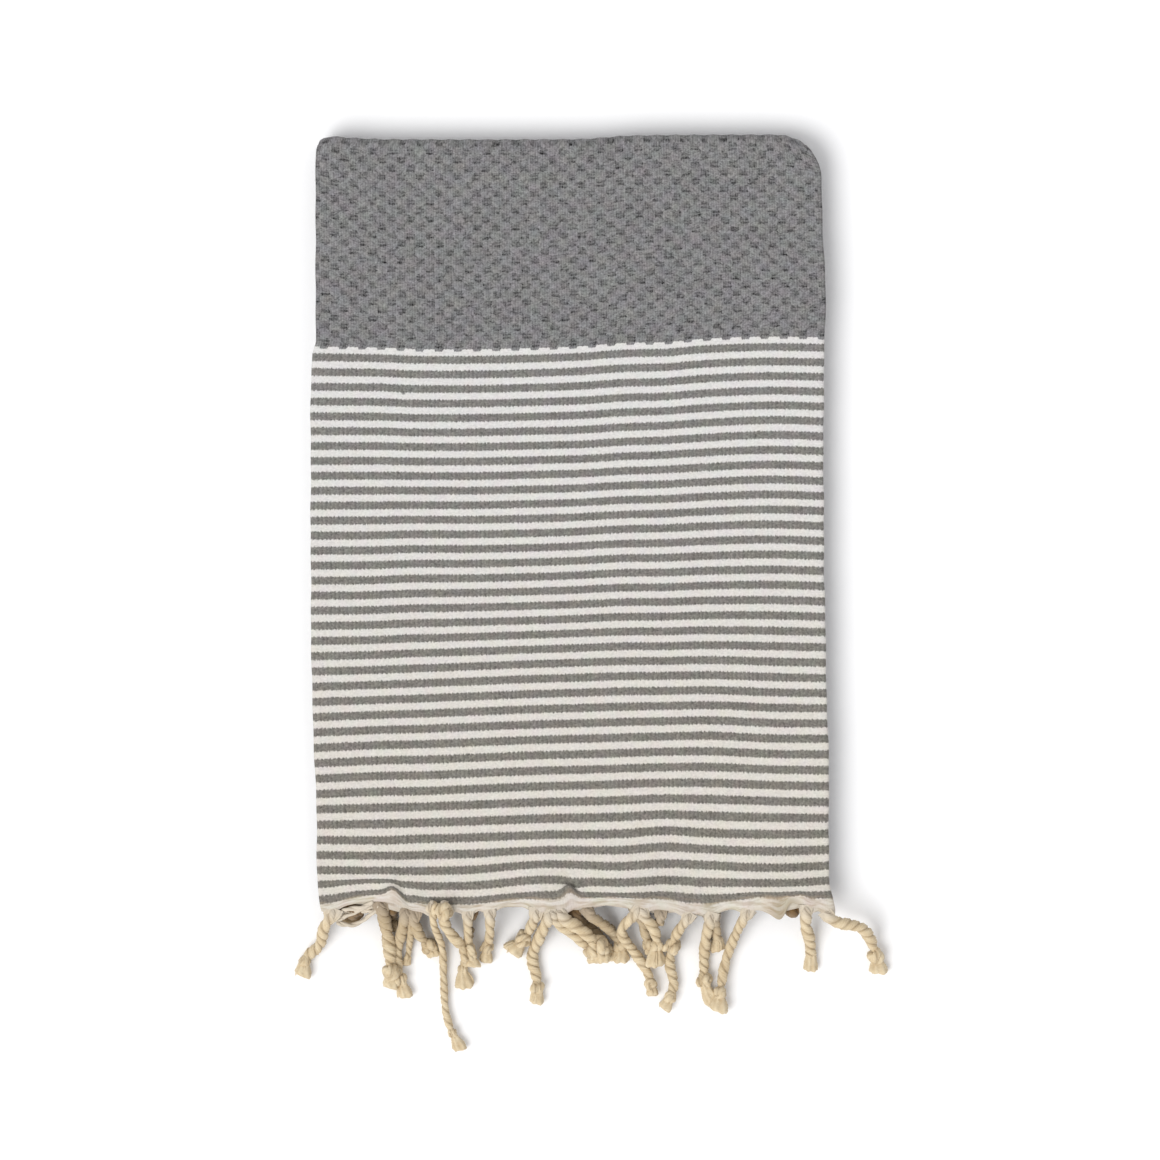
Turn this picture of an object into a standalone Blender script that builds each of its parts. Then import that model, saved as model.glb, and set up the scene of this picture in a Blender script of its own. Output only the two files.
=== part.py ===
"""Hammam towel: one woven sheet folded in three across its width and in four along its length,
with the warp ends of both ends twisted into a fringe.

Metres, +Z up. X runs across the folded stack and +Y from the fringe to the back fold. The origin is on
the surface that the towel lies on, in the middle of the towel and its fringe."""
import math

import bmesh
import bpy

MM = 0.001

# The cloth and its folded stack
CLOTH_THICK = 1.2 * MM
PLY_PITCH = 2.0 * MM        # from the middle of one ply to the middle of the next
LAYERS = 4                  # lengths of the towel that lie on each other, three plies in each
WIDE = 333 * MM             # the folded stack, left to right
DEEP = 502 * MM             # and from the front edge of the top layer to the back fold
UNDER_INSET = 3 * MM        # the folds under the top ply stand back from its edges by this much
UNDER_NARROW = 2 * MM       # and the lower layers are narrower than the top one by this much at each side
END_SHORT = 62 * MM         # the bottom layer stops this far behind the front, over its own fringe
PLY_COLUMNS = 12            # facets across one ply
TURN_STEPS = 3              # facets round a fold of one ply
LAYER_TURN_STEPS = 4        # facets round a fold of a whole layer
TOP_ROWS = (0, 9, 20, 36, 62, 150, 255, 361, 369, 470)   # mm from the front edge
UNDER_ROWS = (70, 255, 470)

# Where the squared-up stack's edges really lie, in millimetres from the origin
SIDES = (                   # from the front, left edge, right edge
    (0, -175.5, 158.5),
    (20, -178.0, 154.5),
    (75, -179.0, 154.5),
    (135, -181.5, 153.0),
    (260, -182.5, 151.0),
    (361, -181.5, 151.5),
    (369, -179.5, 152.0),
    (440, -179.5, 150.5),
    (502, -179.0, 148.5),
)
FRONT = (                   # across from the left, front edge
    (0, -206.0),
    (45, -201.5),
    (62, -207.0),
    (95, -206.5),
    (128, -204.0),
    (150, -206.0),
    (190, -203.0),
    (255, -207.5),
    (285, -205.5),
    (303, -209.0),
    (333, -206.0),
)
BACK = (                    # across from the left, back fold
    (0, 297.5),
    (45, 295.0),
    (170, 295.0),
    (212, 297.5),
    (333, 298.0),
)
LEFT_CORNER = 7 * MM        # plan radius of the back corners
RIGHT_CORNER = 29 * MM
RUMPLES = (                 # across from the left, half width, height, how far back it runs, in millimetres
    (48, 15, 4.0, 34),
    (150, 14, 3.0, 28),
    (206, 18, 2.5, 30),
    (306, 24, 3.5, 40),
)
RUMPLE_SHARE = (0.6, 0.35)  # the part that the top layer's middle ply takes in it, and each ply's step

# The fringe
STRIP_GAP = 0.3 * MM        # between the cloth's end and the strip that joins the cords
STRIP_DEEP = 4.5 * MM
CORD_SINK = 2.5 * MM        # a cord's root starts this far inside the strip's reach
NEAR_CORDS = (              # ply, root across from the origin, reach forward, then how far each quarter of
    # the cord stands to the right of its root, thickness, in millimetres
    (1, -171, 37, -5, -7, -17, -18, 7.0),
    (1, -137, 52, 3, 4.5, 4.5, 5, 8.0),
    (0, -126, 54, -1, -1, 1, 4, 8.0),
    (0, -117, 36, -2, -2.5, -2.5, -5, 5.5),
    (0, -116, 31, 2, 4, 8, 12, 6.5),
    (1, -103, 88, 5, 5.5, 7, 16, 5.5),
    (1, -96, 36, 1, 5, 10, 17, 6.5),
    (1, -80.5, 51, 0, 0, -3.5, -2, 6.0),
    (1, -66, 33, -1, -1, -1.5, -1, 6.5),
    (1, -37, 29, -3, -5, -9, -14, 8.0),
    (1, -27, 60, -6, -12, -10, -9, 7.5),
    (1, -24, 27, 3, 9, 17, 24, 7.0),
    (1, -19.5, 34, 4.5, 12, 20, 24, 7.5),
    (0, -3, 34, 6, 11, 17, 20, 7.0),
    (1, 29, 56, -9, -5, 4, 10, 6.5),
    (0, 30, 32, 3, 5, 7, 9, 6.5),
    (1, 33.5, 35, 5, 9, 8, 9, 7.0),
    (0, 45, 18, 0, 1, 1, 1, 6.0),
    (1, 62, 60, -4, -9, -9, -14, 7.0),
    (1, 76.5, 61, -2.5, -3, -3, 5, 8.0),
    (0, 79.5, 27, 1, 2, 3, 3, 6.5),
    (1, 100.5, 65, -6, -12, -16, -17, 6.5),
    (1, 140, 38, -1, 1, 3.5, 3, 7.5),
    (1, 155.5, 39, 19, 25, 28, 34.5, 7.0),
    (-1, -136, 20, 0.5, 1, 2, 2, 5.5),
    (-1, -79, 20, -0.5, -1, -1, -1, 5.5),
    (-1, -29, 19, -1, -2, -3, -4, 5.5),
    (-1, 34, 20, 2, 3, 4, 5, 5.5),
    (-1, 77, 19, 0, -0.5, -1, -1, 5.5),
    (-1, 139.5, 18, 0, -0.5, -1, 0, 5.5),
)
DROOP = {1: 34 * MM, 0: 26 * MM, -1: 14 * MM}   # a cord of each ply comes down in this much reach
FLOOR_GAP = 0.3 * MM
FAR_CORDS = 12
FAR_CORD_LENGTH = 44 * MM
FAR_CORD_SWAY = 3 * MM
FAR_CORD_THICK = 4.4 * MM


def between(table, at, column):
    """A column of a table of rows that start with a distance in millimetres, read at a place in metres."""
    at = at / MM
    rows = [(row[0], row[column]) for row in table]
    if at <= rows[0][0]:
        return rows[0][1] * MM
    for (low, first), (high, second) in zip(rows, rows[1:]):
        if at <= high:
            return (first + (second - first) * (at - low) / (high - low)) * MM
    return rows[-1][1] * MM


def rounded(x, y):
    """Turns the square back corners of the stack into quarter circles."""
    for side, radius in ((-1, LEFT_CORNER), (1, RIGHT_CORNER)):
        a = (x - WIDE + radius) if side > 0 else (radius - x)
        b = y - DEEP + radius
        if a > 0 and b > 0:
            shrunk_a = a * math.sqrt(1 - b * b / (2 * radius * radius))
            shrunk_b = b * math.sqrt(1 - a * a / (2 * radius * radius))
            x += side * (shrunk_a - a)
            y += shrunk_b - b
    return x, y


def plan(x, y):
    """The place on the surface of a point of the squared-up stack, whose front left corner is 0, 0."""
    x, y = rounded(x, y)
    left, right = between(SIDES, y, 1), between(SIDES, y, 2)
    front, back = between(FRONT, x, 1), between(BACK, x, 1)
    return left + (right - left) * x / WIDE, front + (back - front) * y / DEEP


def rumple(x, y, rise):
    """How far a ply of the top layer lifts near the front edge. rise is its height in the layer."""
    middle_share, ply_step = RUMPLE_SHARE
    lift = 0
    for across, half, high, back in RUMPLES:
        lift += high * MM * math.exp(-((x / MM - across) / half) ** 2 - (max(y, 0) / MM / back) ** 2)
    return lift * (middle_share + ply_step * rise)


def section():
    """The three plies across the width, joined by a fold at the right and one at the left: for each column
    its place across and its height over the middle ply."""
    turn = PLY_PITCH / 2
    proud = turn + CLOTH_THICK / 2
    right, left = WIDE - proud, UNDER_INSET + proud
    inner = [WIDE * i / PLY_COLUMNS for i in range(1, PLY_COLUMNS)]
    columns = [(x, PLY_PITCH) for x in [0.0, *inner, right]]
    for side, start, middle in ((1, right, turn), (-1, left, -turn)):
        for step in range(1, TURN_STEPS):
            angle = math.pi * step / TURN_STEPS
            columns.append((start + side * turn * math.sin(angle), middle + turn * math.cos(angle)))
        if side > 0:
            columns += [(x, 0.0) for x in [right, *reversed(inner), left]]
        else:
            columns += [(x, -PLY_PITCH) for x in [left, *inner, WIDE - UNDER_INSET]]
    return columns


def layer_middle(layer):
    """Height of the middle ply of a layer, counted down from the top one."""
    return CLOTH_THICK / 2 + PLY_PITCH + (LAYERS - 1 - layer) * 3 * PLY_PITCH


def fold_reach():
    """How far the outermost ply of a layer's fold lies beyond the layer's flat part."""
    return 2.5 * PLY_PITCH + CLOTH_THICK / 2


def along():
    """From the near end to the far end: for each row a function of the height in the layer that gives the
    place from the front and the height over the surface, and how far the row is narrowed, 0 in the top
    layer and 1 in those under it."""
    def flat(y, layer):
        way = 1 if layer % 2 == 0 else -1
        return lambda rise: (y, layer_middle(layer) + way * rise), min(layer, 1)

    def fold(start, upper, angle):
        at_back = upper % 2 == 0
        side = 1 if at_back else -1
        centre = (layer_middle(upper) + layer_middle(upper + 1)) / 2
        return lambda rise: (
            start + side * (1.5 * PLY_PITCH + side * rise) * math.sin(angle),
            centre + (1.5 * PLY_PITCH + side * rise) * math.cos(angle),
        ), 1 if upper else angle / math.pi

    back, front = DEEP - fold_reach(), UNDER_INSET + fold_reach()
    rows = [flat(y * MM, 0) for y in TOP_ROWS]
    for layer in range(1, LAYERS):
        start = back if layer % 2 else front
        rows.append(flat(start, layer - 1))
        rows += [fold(start, layer - 1, math.pi * s / LAYER_TURN_STEPS) for s in range(1, LAYER_TURN_STEPS)]
        rows.append(flat(start, layer))
        ordered = UNDER_ROWS if layer % 2 == 0 else reversed(UNDER_ROWS)
        rows += [flat(y * MM, layer) for y in ordered if layer < LAYERS - 1 or y * MM > END_SHORT + 5 * MM]
    rows.append(flat(END_SHORT, LAYERS - 1))
    return rows


def sheet_object(name, columns, rows, material):
    """A sheet bent along the columns and rows, given the cloth's thickness by Solidify."""
    mesh = bpy.data.meshes.new(name)
    shape = bmesh.new()
    bmesh.ops.create_grid(shape, x_segments=len(columns) - 1, y_segments=len(rows) - 1, size=0.5)
    for vert in shape.verts:
        column = columns[round((vert.co.x + 0.5) * (len(columns) - 1))]
        place, narrowed = rows[round((vert.co.y + 0.5) * (len(rows) - 1))]
        x, rise = column
        y, z = place(rise)
        if narrowed == 0:
            z += rumple(x, y, rise / PLY_PITCH)
        x += (0.5 - x / WIDE) * 2 * UNDER_NARROW * narrowed
        vert.co = (*plan(x, y), z)
    bmesh.ops.recalc_face_normals(shape, faces=shape.faces)
    shape.to_mesh(mesh)
    shape.free()
    mesh.materials.append(material)
    thing = bpy.data.objects.new(name, mesh)
    solid = thing.modifiers.new("thickness", "SOLIDIFY")
    solid.thickness = CLOTH_THICK
    solid.offset = 0
    return thing


def cord_object(name, points, thick, rounding, material):
    """One twisted cord of the fringe, as a plain tube with filled ends. rounding 0 gives it four sides, and
    1 gives it six."""
    curve = bpy.data.curves.new(name, "CURVE")
    curve.dimensions = "3D"
    curve.bevel_depth = thick / 2
    curve.bevel_resolution = rounding
    curve.use_fill_caps = True
    line = curve.splines.new("POLY")
    line.points.add(len(points) - 1)
    for point, place in zip(line.points, points):
        point.co = (*place, 1)
    tube = bpy.data.objects.new(name, curve)
    bpy.context.scene.collection.objects.link(tube)
    bpy.context.view_layer.update()
    mesh = bpy.data.meshes.new_from_object(tube.evaluated_get(bpy.context.evaluated_depsgraph_get()))
    shape = bmesh.new()
    shape.from_mesh(mesh)
    bmesh.ops.remove_doubles(shape, verts=shape.verts, dist=0.0001 * MM)
    bmesh.ops.recalc_face_normals(shape, faces=shape.faces)
    shape.to_mesh(mesh)
    shape.free()
    mesh.materials.clear()
    mesh.materials.append(material)
    made = bpy.data.objects.new(name, mesh)
    made.matrix_world = tube.matrix_world
    bpy.data.objects.remove(tube)
    return made


def near_route(ply, root, reach, quarters, thick):
    """The line of a near cord: out of the strip, over the front of the stack, and along the surface."""
    facet = WIDE / PLY_COLUMNS
    corners = [(*plan(facet * i, -CORD_SINK), rumple(facet * i, 0, ply)) for i in range(PLY_COLUMNS + 1)]
    pairs = list(zip(corners, corners[1:]))
    before, after = next((pair for pair in pairs if root <= pair[1][0]), pairs[-1])
    share = (root - before[0]) / (after[0] - before[0])
    start = before[1] + (after[1] - before[1]) * share
    top = layer_middle(0) + ply * PLY_PITCH + before[2] + (after[2] - before[2]) * share
    low = thick / 2 + FLOOR_GAP
    points = [(root, start, top)]
    for step, aside in enumerate(quarters, start=1):
        forward = reach * step / 4
        drop = min(forward / DROOP[ply], 1)
        points.append((root + aside, start - forward, top + (low - top) * drop * drop * (3 - 2 * drop)))
    points.insert(1, (root, start - CORD_SINK, top))
    return points


def union(body, others):
    """Joins cords into the strip with Boolean modifiers; the cords stay hidden in the cutters' collection."""
    for other in others:
        join = body.modifiers.new(other.name, "BOOLEAN")
        join.operation = "UNION"
        join.solver = "EXACT"
        join.object = other
        other.hide_render = True
        other.display_type = "WIRE"
        cutters.objects.link(other)


def cloth_material():
    """Cotton in honeycomb weave, mid grey."""
    material = bpy.data.materials.new("grey cotton cloth")
    material.use_nodes = True
    surface = material.node_tree.nodes["Principled BSDF"]
    surface.inputs["Base Color"].default_value = (0.21, 0.205, 0.2, 1)
    surface.inputs["Roughness"].default_value = 0.92
    surface.inputs["Metallic"].default_value = 0.0
    return material


def cord_material():
    """Undyed cotton warp ends, cream."""
    material = bpy.data.materials.new("cream cotton cord")
    material.use_nodes = True
    surface = material.node_tree.nodes["Principled BSDF"]
    surface.inputs["Base Color"].default_value = (0.79, 0.68, 0.47, 1)
    surface.inputs["Roughness"].default_value = 0.88
    surface.inputs["Metallic"].default_value = 0.0
    return material


def towel():
    """The woven sheet, one solid from end to end."""
    return sheet_object("towel", section(), along(), cloth_material())


def fringe_near(material):
    """The near fringe: a strip along the three plies of the near end, and its cords."""
    rows = [(lambda rise, y=y: (y, layer_middle(0) + rise), 0)
            for y in (-STRIP_GAP, -STRIP_GAP - STRIP_DEEP)]
    strip = sheet_object("fringe_near", section(), rows, material)
    cords = []
    for number, (ply, root, reach, *quarters, thick) in enumerate(NEAR_CORDS):
        sizes = [quarter * MM for quarter in quarters]
        route = near_route(ply, root * MM, reach * MM, sizes, thick * MM)
        cords.append(cord_object(f"near_cord_{number}", route, thick * MM, 1, material))
    union(strip, cords)
    return strip


def fringe_far(material):
    """The far fringe, flat on the surface under the front of the stack."""
    last = LAYERS - 1
    rows = [(lambda rise, y=y: (y, layer_middle(last) - rise), 1)
            for y in (END_SHORT - STRIP_GAP, END_SHORT - STRIP_GAP - STRIP_DEEP)]
    strip = sheet_object("fringe_far", section(), rows, material)
    cords = []
    start = END_SHORT - STRIP_GAP - CORD_SINK
    height = FAR_CORD_THICK / 2 + FLOOR_GAP
    for number in range(FAR_CORDS):
        x = WIDE * (number + 0.75) / (FAR_CORDS + 0.5)
        sway = FAR_CORD_SWAY * math.sin(2.4 * number)
        route = [
            (*plan(x + sway * share, start - FAR_CORD_LENGTH * share), height)
            for share in (0, 0.4, 1)
        ]
        cords.append(cord_object(f"far_cord_{number}", route, FAR_CORD_THICK, 0, material))
    union(strip, cords)
    return strip


for old in list(bpy.data.objects):
    bpy.data.objects.remove(old)

parts = bpy.data.collections.new("hammam towel")
cutters = bpy.data.collections.new("cutters")
bpy.context.scene.collection.children.link(parts)
bpy.context.scene.collection.children.link(cutters)

cord_cotton = cord_material()
for part in (towel(), fringe_near(cord_cotton), fringe_far(cord_cotton)):
    parts.objects.link(part)
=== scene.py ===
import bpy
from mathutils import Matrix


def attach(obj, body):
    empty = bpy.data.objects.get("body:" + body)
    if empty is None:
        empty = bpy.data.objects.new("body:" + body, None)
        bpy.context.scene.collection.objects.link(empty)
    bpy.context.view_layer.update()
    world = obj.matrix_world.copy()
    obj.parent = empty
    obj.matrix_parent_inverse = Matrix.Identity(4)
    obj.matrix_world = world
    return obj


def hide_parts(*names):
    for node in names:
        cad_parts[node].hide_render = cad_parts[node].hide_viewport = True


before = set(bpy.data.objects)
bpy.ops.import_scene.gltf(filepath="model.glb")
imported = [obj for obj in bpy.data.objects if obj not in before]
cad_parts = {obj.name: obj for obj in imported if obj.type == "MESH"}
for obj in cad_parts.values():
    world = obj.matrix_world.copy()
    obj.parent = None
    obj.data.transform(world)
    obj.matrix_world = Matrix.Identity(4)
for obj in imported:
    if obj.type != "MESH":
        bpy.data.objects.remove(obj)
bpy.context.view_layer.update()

import functools
import math

import bmesh
import bpy
import numpy as np

MM = 0.001

# ---------------------------------------------------------------------------------------------------------
# The view
# The towel lies on a plain white studio table and is seen from straight above, through a long lens. One
# broad soft lamp stands at the lower left of the picture, and the white room fills the shadows.

VIEW_WIDE = 754 * MM                 # what the square picture takes in, at the height of the cloth's face
VIEW_CENTRE = (-7.5 * MM, 8.1 * MM)
FACE_HEIGHT = 23 * MM
CAMERA_RISE = 4.0                    # metres over the face of the cloth
SENSOR = 36.0                        # mm
TABLE_WIDE = 12.0                    # metres
TABLE_DROP = 0.3 * MM                # under the lowest yarn
VIEW_END = 40.0                      # metres from the camera
LAMP_TURN = (math.radians(36), 0.0, math.radians(-48))
LAMP_SPREAD = math.radians(40)
LAMP_STRENGTH = 2.07
ROOM_STRENGTH = 0.667


def put_in_scene(name, data):
    """Makes an object of data, at the origin, and shows it."""
    made = bpy.data.objects.new(name, data)
    bpy.context.scene.collection.objects.link(made)
    return made


lens = bpy.data.cameras.new("long lens")
lens.sensor_width = SENSOR
lens.lens = SENSOR * CAMERA_RISE / VIEW_WIDE
lens.clip_end = VIEW_END
camera = put_in_scene("camera", lens)
camera.location = (*VIEW_CENTRE, FACE_HEIGHT + CAMERA_RISE)
bpy.context.scene.camera = camera

lamp_light = bpy.data.lights.new("broad lamp", "SUN")
lamp_light.energy = LAMP_STRENGTH
lamp_light.angle = LAMP_SPREAD
lamp = put_in_scene("broad lamp", lamp_light)
lamp.rotation_euler = LAMP_TURN


def linear(hex_colour):
    """An sRGB colour, written as six hex digits, as the linear colour that a shader takes."""
    parts = [int(hex_colour[i:i + 2], 16) / 255 for i in (1, 3, 5)]
    return (*(p / 12.92 if p <= 0.04045 else ((p + 0.055) / 1.055) ** 2.4 for p in parts), 1.0)


room = bpy.data.worlds.new("white room")
room.use_nodes = True
room_light = room.node_tree.nodes["Background"]
room_light.inputs["Color"].default_value = linear("#fdfdff")
room_light.inputs["Strength"].default_value = ROOM_STRENGTH
bpy.context.scene.world = room
bpy.context.scene.view_settings.view_transform = "Standard"


def new_material(name):
    """A material made of nodes, with its node tree and its shader."""
    material = bpy.data.materials.new(name)
    material.use_nodes = True
    return material, material.node_tree, material.node_tree.nodes["Principled BSDF"]


def finished_mesh(name, shape, material):
    """Turns a bmesh into a mesh in one material."""
    mesh = bpy.data.meshes.new(name)
    shape.to_mesh(mesh)
    shape.free()
    mesh.materials.append(material)
    return mesh


# Matt white laminate: an even pale ground with no gloss of its own
laminate, _, laminate_surface = new_material("white laminate")
laminate_surface.inputs["Base Color"].default_value = linear("#fbfbfb")
laminate_surface.inputs["Roughness"].default_value = 0.8
table_top = bmesh.new()
bmesh.ops.create_grid(table_top, x_segments=1, y_segments=1, size=TABLE_WIDE / 2)
bmesh.ops.translate(table_top, verts=table_top.verts, vec=(0, 0, -TABLE_DROP))
table = put_in_scene("table_top", finished_mesh("table_top", table_top, laminate))

# ---------------------------------------------------------------------------------------------------------
# The cloth
# One length of cotton off the loom: 37 grey weft stripes on white at each end, and a honeycomb ground in
# grey between them, whose squares stand up and sink by turns. It is folded in three across its width, then
# in four along its length, and lies on its own far end.

CLOTH_THICK = 1.2 * MM
PLY_PITCH = 2.0 * MM                 # from the middle of one ply to the middle of the next
LAYERS = 4
WIDE = 333 * MM                      # the folded stack, left to right
DEEP = 502 * MM                      # and from the front edge to the back fold
UNDER_INSET = 3 * MM                 # the folds under the face ply stand back from its edges by this much
UNDER_NARROW = 2 * MM                # and the lower layers are narrower by this much at each side
END_SHORT = 62 * MM                  # the bottom layer stops so far behind the front, over its fringe
STRIPES = 37                         # grey ones, at each end
STRIPE_REPEAT = 9.7 * MM             # a grey stripe and the white beside it
GREY_WIDE = 5.15 * MM
END_BAND = 6.5 * MM                  # white, from the cloth's end to the first grey stripe
SQUARES_ACROSS = 53                  # honeycomb squares in the face ply
SQUARES_DEEP = 24                    # from the stripes to the back fold
RELIEF = 0.42 * MM                   # how far a square stands up or sinks,
SQUARE_SLOPE = 0.3                   # and how softly: near 0, the squares would be flat steps
HEM_CURL = 1.3 * MM                  # how far the cut end bends down,
HEM_CURL_LONG = 6 * MM               # and over what length
HEM_FADE = 8 * MM                    # how far back the waves of the front edge reach
LEAN = 1.1 * MM                      # the lower plies lie askew by as much as this, to either side:
LEAN_ALONG = 0.083                   # it waves along the stack, by a radian in so many metres,
LEAN_UP = 410.0                      # and from ply to ply, by so many radians for each metre of height
EDGE_WAVE = 0.35 * MM                # the selvedges waver by this much,
EDGE_WAVES = (7.1 * MM, 17.3 * MM)   # in two waves that beat

SIDES = (                            # from the front, left edge, right edge, in millimetres
    (0, -175.5, 158.5),
    (20, -178.0, 154.5),
    (75, -179.0, 154.5),
    (135, -181.5, 153.0),
    (260, -182.5, 151.0),
    (361, -181.5, 151.5),
    (369, -179.5, 152.0),
    (440, -179.5, 150.5),
    (502, -179.0, 148.5),
)
FRONT = (                            # across from the left, front edge
    (0, -206.0),
    (45, -201.5),
    (62, -207.0),
    (95, -206.5),
    (128, -204.0),
    (150, -206.0),
    (190, -203.0),
    (255, -207.5),
    (263, -206.0),
    (281, -205.5),
    (290, -208.0),
    (297, -208.5),
    (300, -206.2),
    (303, -202.0),
    (306, -201.2),
    (312, -201.8),
    (319, -206.0),
    (333, -206.5),
)
FRONT_LINE = -205.5                  # the straight line that the waves of the front edge lie along
BACK = (                             # across from the left, back fold
    (0, 297.5),
    (45, 295.0),
    (170, 295.0),
    (212, 297.5),
    (333, 298.0),
)
LEFT_CORNER = 11 * MM                # plan radius of the back corners
RIGHT_CORNER = 29 * MM
RUMPLES = (                          # across, half width, height, how far back it runs, in millimetres
    (48, 15, 4.0, 34),
    (150, 14, 3.0, 28),
    (206, 18, 2.5, 30),
    (306, 24, 3.5, 40),
)
RUMPLE_SHARE = (0.6, 0.35)           # the part that the middle ply takes in it, and each ply's step
# The weft isn't laid straight: how far it runs behind its true line, in millimetres, at each distance from
# the front (first column) and at DRIFT_ACROSS from the left
DRIFT_ACROSS = (0, 44, 70, 96, 148, 200, 226, 252, 304, 333)
DRIFT = (
    (0, 0, 0, 0, 0, 0, 0, 0, 0, 0, 0),
    (6, -3.5, 0, -2.5, -3, 0, -0.5, 0, -2, 2, 0.5),
    (16, -3, 0, -4, -4, 0, -2, -0.5, -2, -2, -0.5),
    (26, -3.5, -3.5, -4, -3.5, 0.5, -1, 0.5, -0.5, -2, -0.5),
    (45, -3.5, -3.5, -2.5, -2, 0, 0.5, 2.5, 1, 0, 0.5),
    (65, -3, -1.5, -1, 0, 2, 3, 4, 3.5, 2, 1.5),
    (104, -2, 0.5, 1, 2, 4, 5, 5.5, 6, 4, 4),
    (142, -1, 1, 2, 3, 5, 6, 6, 6.5, 5, 4.5),
    (220, 0, 1.5, 2.5, 2.5, 3.5, 5, 5, 6, 7, 6),
    (298, 0, 1.5, 1, 1, 2, 3, 3.5, 5, 7, 6),
    (365, -0.5, 0.5, -0.5, -0.5, 0.5, 2, 2, 4, 5.5, 5),
    (470, 0, 0, 0, 0, 0, 0, 0, 0, 0, 0),
)
# Tucks and creases: across, from the front, half width, half length, turn in degrees, then how far the
# cloth is pulled back and how far it is lifted, in millimetres. Right at the front it isn't pulled yet
TUCKS = (
    (47.5, 7, 4.5, 7, 0, 4.5, 1.6),
    (56.5, 9, 3, 16, 8, -1.0, -1.4),
    (146, 10, 14, 12, 0, 0, 0.9),
    (162, 9, 4.4, 5, 0, 5.4, 2.0),
    (166, 15, 3.2, 5, 30, -0.5, -2.8),
    (168, 17.5, 8, 4, 0, -2.2, 0),
    (172.5, 19, 3, 2.5, 0, 0, -1.8),
    (214, 8, 12, 12, 0, 0, 1.2),
    (258, 8, 12, 12, 0, 0, -1.2),
    (287, 7, 8, 4, 0, 1.0, 0),
    (290, 10, 14, 12, 0, 0, 1.0),
    (303, 4, 9, 5, 0, 0, -2.2),
    (306, 7, 6, 4, 0, -2.6, 0),
    (318, 7, 6, 4, 0, -0.9, 0),
    (322, 10, 10, 14, 0, 0, 0.8),
)
# Where the bunches of fringe pull the cut end forward: for each ply, the places across from the origin
HEM_PULLS = {
    1: (-169, -103, -96, -80.5, -66, -36, -27, -19.5, 29, 33.5, 62, 77.5, 100.5, 122.5, 139.5,
        154.5),
    0: (-136.5, -121, -116, -1.5, 30, 45, 79.5),
    -1: (-156, -129.5, -79, -11, 34, 77, 131),
}
HEM_PULL = 4.0 * MM
HEM_PULL_WIDE = 5.5 * MM             # half width of a pull
HEM_PULL_FADE = 9 * MM               # how far back it is felt
TUCK_FADE = 4 * MM
# Soft swells of the face: across, from the front, half width, half length, turn in degrees, height in mm
SWELLS = (
    (230, 230, 60, 26, 20, 0.7),
    (90, 310, 70, 22, -8, 0.5),
    (262, 90, 40, 30, 30, 0.6),
    (120, 120, 50, 26, 12, -0.5),
    (200, 420, 90, 18, 6, 0.5),
    (60, 470, 60, 22, -30, -0.4),
)
STIFF = 0.12                         # lets a curve swing a little past a knot that is a crest


def curve(knots, values, at):
    """A smooth curve through values at knots, read at places. values may hold a row for each knot, and
    then each place has a curve of its own."""
    at = np.clip(at, knots[0], knots[-1])
    steps_up = np.diff(values, axis=0) / np.diff(knots).reshape(-1, *[1] * (values.ndim - 1))
    before, after = np.concatenate([steps_up[:1], steps_up]), np.concatenate([steps_up, steps_up[-1:]])
    steepest = 2 * np.minimum(np.abs(before), np.abs(after)) + STIFF * (np.abs(before) + np.abs(after))
    slopes = np.clip(np.gradient(values, knots, axis=0), -steepest, steepest)
    cell = np.clip(np.searchsorted(knots, at) - 1, 0, len(knots) - 2)
    span = knots[cell + 1] - knots[cell]
    t = (at - knots[cell]) / span
    own = (cell, np.arange(len(at))) if values.ndim == 2 else (cell,)
    next_one = (cell + 1, *own[1:])
    return (
        values[own] * (1 + 2 * t) * (1 - t) ** 2
        + slopes[own] * span * t * (1 - t) ** 2
        + values[next_one] * (3 - 2 * t) * t * t
        - slopes[next_one] * span * t * t * (1 - t)
    )


def through(knots, values, at):
    """The same for knots and values in millimetres, as the tables give them, read at places in metres."""
    return MM * curve(np.asarray(knots, float), np.asarray(values, float), np.asarray(at) / MM)


def rounded(x, y):
    """Turns the square back corners of the stack into quarter circles."""
    x, y = x.copy(), y.copy()
    for side, radius in ((-1, LEFT_CORNER), (1, RIGHT_CORNER)):
        a = np.maximum((x - WIDE + radius) if side > 0 else (radius - x), 0)
        b = np.maximum(y - DEEP + radius, 0)
        shrunk_a = a * np.sqrt(np.maximum(1 - b * b / (2 * radius * radius), 0))
        shrunk_b = b * np.sqrt(np.maximum(1 - a * a / (2 * radius * radius), 0))
        both = (a > 0) & (b > 0)
        x += np.where(both, side * (shrunk_a - a), 0)
        y += np.where(both, shrunk_b - b, 0)
    return x, y


def plan(x, y):
    """The place on the table of a point of the squared-up stack, whose front left corner is 0, 0."""
    x, y = rounded(x, y)
    sides, front, back = np.array(SIDES), np.array(FRONT), np.array(BACK)
    left, right = through(sides[:, 0], sides[:, 1], y), through(sides[:, 0], sides[:, 2], y)
    near, far = through(front[:, 0], front[:, 1], x), through(back[:, 0], back[:, 1], x)
    level = FRONT_LINE * MM
    waves = (near - level) * np.exp(-(np.maximum(y, 0) / HEM_FADE) ** 2)
    return left + (right - left) * x / WIDE, level + waves + (far - level) * y / DEEP


def hem_pull(x, ply):
    """How far the cut end of a ply is pulled forward at x from the origin."""
    roots = np.array(HEM_PULLS[ply]) * MM
    return HEM_PULL * np.exp(-(((x[:, None] - roots) / HEM_PULL_WIDE) ** 2)).max(axis=1)


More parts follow.
